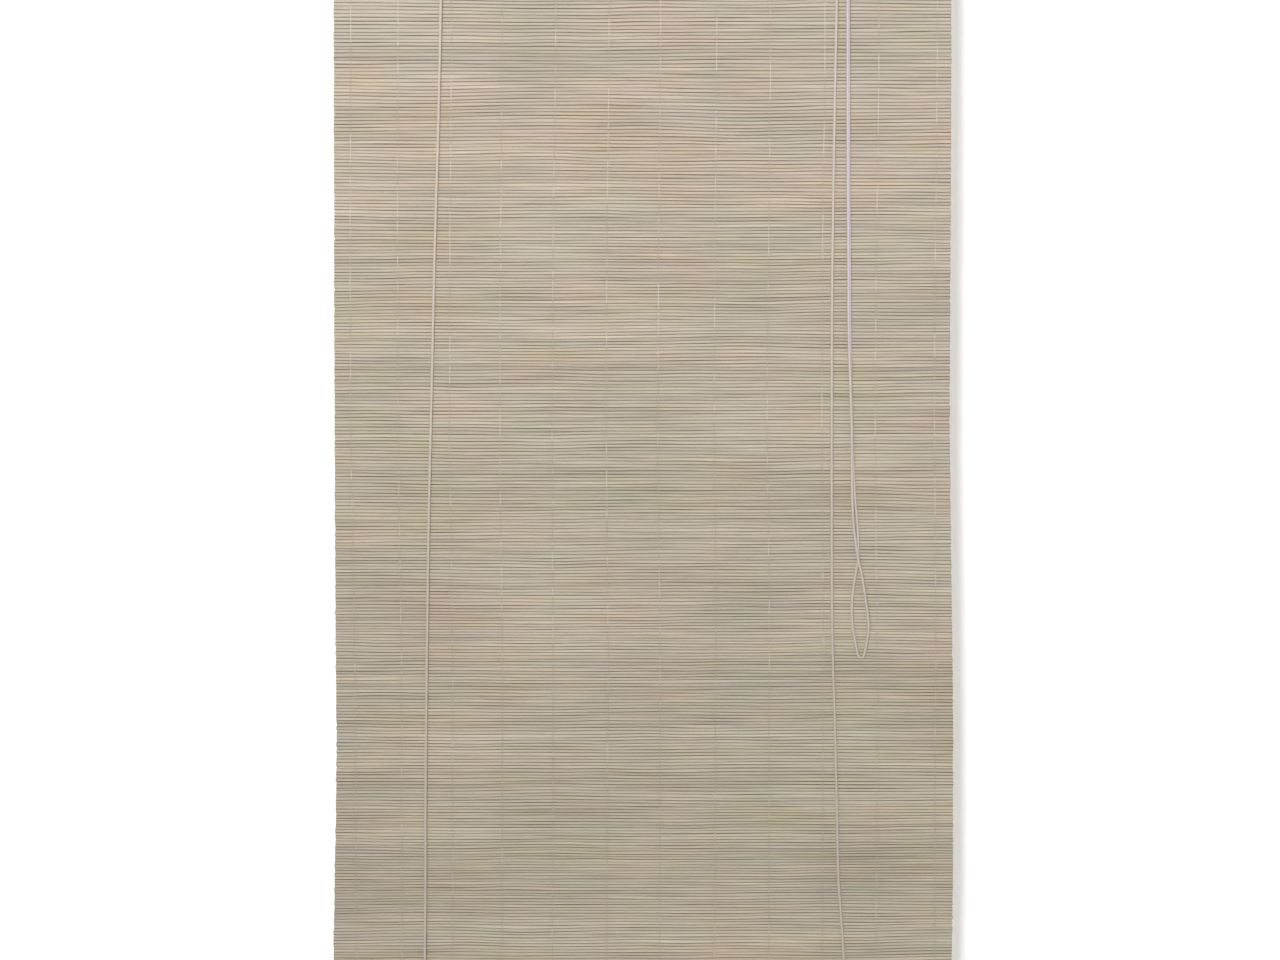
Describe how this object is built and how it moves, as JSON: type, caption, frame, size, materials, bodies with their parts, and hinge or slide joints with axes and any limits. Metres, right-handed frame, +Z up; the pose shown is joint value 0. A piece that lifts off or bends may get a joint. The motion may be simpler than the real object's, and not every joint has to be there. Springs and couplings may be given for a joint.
{
  "type": "bamboo roll-up blind",
  "caption": "Bamboo roll-up window blind: thin slats woven on cotton threads under a wooden head rail, with lift cords over pulleys, a cord lock and a pull cord.",
  "frame": {"origin": "midway between the two hanger holes, on the wall plane at the back of the hanger plates", "axes": "+X along the rail to the right as seen from the room, -Y out of the wall into the room, +Z up"},
  "size_m": [0.8, 0.0387, 1.6243],
  "materials": {
    "bamboo": "matt",
    "pine": "matt",
    "cotton": "matt",
    "cord": "matt",
    "steel": "satin",
    "nylon": "satin"
  },
  "bodies": {
    "blind": {"head_rail": "pine", "front_batten": "pine", "left_hanger_plate": "steel", "right_hanger_plate": "steel", "hanger_screws": "steel", "batten_screws": "steel", "left_pulley_bracket": "steel", "left_axle": "steel", "lock_housing": "steel", "lock_axle": "steel", "lock_cam_pin": "steel", "bracket_screws": "steel", "cord_eyes": "steel", "left_lift_cord": "cord", "right_lift_cord": "cord", "left_cord_tail": "cord", "right_cord_tail": "cord", "pull_cord": "cord", "top_slats": "bamboo", "slat_band_01": "bamboo", "slat_band_02": "bamboo", "slat_band_03": "bamboo", "slat_band_04": "bamboo", "slat_band_05": "bamboo", "slat_band_06": "bamboo", "slat_band_07": "bamboo", "slat_band_08": "bamboo", "slat_band_09": "bamboo", "slat_band_10": "bamboo", "slat_band_11": "bamboo", "slat_band_12": "bamboo", "slat_band_13": "bamboo", "slat_band_14": "bamboo", "slat_band_15": "bamboo", "slat_band_16": "bamboo", "slat_band_17": "bamboo", "slat_band_18": "bamboo", "slat_band_19": "bamboo", "slat_band_20": "bamboo", "warp_thread_01": "cotton", "warp_thread_02": "cotton", "warp_thread_03": "cotton", "warp_thread_04": "cotton", "warp_thread_05": "cotton", "warp_thread_06": "cotton", "warp_thread_07": "cotton", "warp_thread_08": "cotton", "warp_thread_09": "cotton", "warp_thread_10": "cotton", "warp_thread_11": "cotton", "warp_thread_12": "cotton"},
    "cord_slings": {"left_cord_sling": "cord", "right_cord_sling": "cord"},
    "bottom_rod": {"bottom_rod": "pine", "rod_lashings": "cotton"},
    "left_sheave": {"left_sheave": "nylon"},
    "lock_rear_sheave": {"lock_rear_sheave": "nylon"},
    "lock_front_sheave": {"lock_front_sheave": "nylon"},
    "lock_cam": {"lock_cam": "steel"}
  },
  "joints": [
    {"name": "roll_up", "type": "slide", "parent": "blind", "child": "cord_slings", "axis": [0, -0.0473, 0.9989], "range_m": [0, 1.4837], "deforming": ["slat_band_01", "slat_band_02", "slat_band_03", "slat_band_04", "slat_band_05", "slat_band_06", "slat_band_07", "slat_band_08", "slat_band_09", "slat_band_10", "slat_band_11", "slat_band_12", "slat_band_13", "slat_band_14", "slat_band_15", "slat_band_16", "slat_band_17", "slat_band_18", "slat_band_19", "slat_band_20", "warp_thread_01", "warp_thread_02", "warp_thread_03", "warp_thread_04", "warp_thread_05", "warp_thread_06", "warp_thread_07", "warp_thread_08", "warp_thread_09", "warp_thread_10", "warp_thread_11", "warp_thread_12", "left_lift_cord", "right_lift_cord", "left_cord_tail", "right_cord_tail", "pull_cord"]},
    {"name": "rod_spin", "type": "hinge", "parent": "cord_slings", "child": "bottom_rod", "pos_m": [0, -0.0183, -1.604], "axis": [-1, 0, 0], "continuous": true},
    {"name": "left_sheave_spin", "type": "hinge", "parent": "blind", "child": "left_sheave", "pos_m": [-0.253, -0.0286, -0.0532], "axis": [0, 1, 0], "continuous": true},
    {"name": "lock_rear_sheave_spin", "type": "hinge", "parent": "blind", "child": "lock_rear_sheave", "pos_m": [0.2585, -0.0286, -0.0532], "axis": [0, 1, 0], "continuous": true},
    {"name": "lock_front_sheave_spin", "type": "hinge", "parent": "blind", "child": "lock_front_sheave", "pos_m": [0.2585, -0.0339, -0.0532], "axis": [0, 1, 0], "continuous": true},
    {"name": "lock_cam_pivot", "type": "hinge", "parent": "blind", "child": "lock_cam", "pos_m": [0.275, -0.0312, -0.058], "axis": [0, 1, 0], "range_deg": [0, 40]}
  ],
  "couplings": [
    {"joint": "rod_spin", "follows": "roll_up", "rad_per_m": 32.7},
    {"joint": "left_sheave_spin", "follows": "roll_up", "rad_per_m": 285.71},
    {"joint": "lock_rear_sheave_spin", "follows": "roll_up", "rad_per_m": 285.71},
    {"joint": "lock_front_sheave_spin", "follows": "roll_up", "rad_per_m": 285.71}
  ]
}
